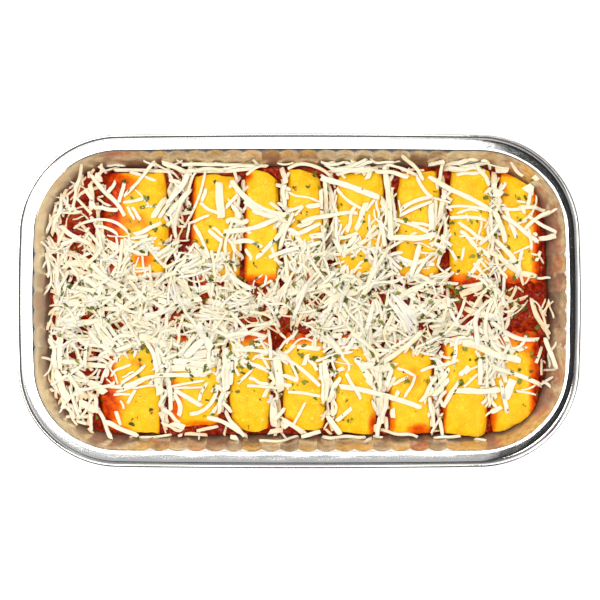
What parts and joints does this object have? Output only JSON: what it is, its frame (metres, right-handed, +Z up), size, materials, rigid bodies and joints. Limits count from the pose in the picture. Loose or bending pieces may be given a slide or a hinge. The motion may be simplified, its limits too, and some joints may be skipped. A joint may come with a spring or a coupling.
{
  "type": "cannelloni in a foil tray",
  "caption": "Oven-ready aluminium tray of filled pasta tubes in two rows, in chunky tomato sauce under loose grated cheese.",
  "frame": {"origin": "on the underside of the tray's flat floor, at the middle of the tray's outline", "axes": "+X along the tray's long side, +Y across it towards the upper row of tubes, +Z up out of the tray"},
  "size_m": [0.34, 0.202, 0.04],
  "materials": {
    "foil": "bright rolled foil",
    "pasta": "moist egg pasta, satin",
    "filling": "moist minced filling",
    "sauce": "wet and glossy",
    "cheese": "soft satin",
    "herb": "matt leaf"
  },
  "bodies": {
    "root": {"tray": "foil", "pasta_top_1": "pasta", "pasta_top_2": "pasta", "pasta_top_3": "pasta", "pasta_top_4": "pasta", "pasta_top_5": "pasta", "pasta_top_6": "pasta", "pasta_top_7": "pasta", "pasta_top_8": "pasta", "pasta_bottom_1": "pasta", "pasta_bottom_2": "pasta", "pasta_bottom_3": "pasta", "pasta_bottom_4": "pasta", "pasta_bottom_5": "pasta", "pasta_bottom_6": "pasta", "pasta_bottom_7": "pasta", "pasta_bottom_8": "pasta", "filling_top_1": "filling", "filling_top_2": "filling", "filling_top_3": "filling", "filling_top_4": "filling", "filling_top_5": "filling", "filling_top_6": "filling", "filling_top_7": "filling", "filling_top_8": "filling", "filling_bottom_1": "filling", "filling_bottom_2": "filling", "filling_bottom_3": "filling", "filling_bottom_4": "filling", "filling_bottom_5": "filling", "filling_bottom_6": "filling", "filling_bottom_7": "filling", "filling_bottom_8": "filling", "sauce": "sauce", "cheese": "cheese"}
  },
  "joints": []
}
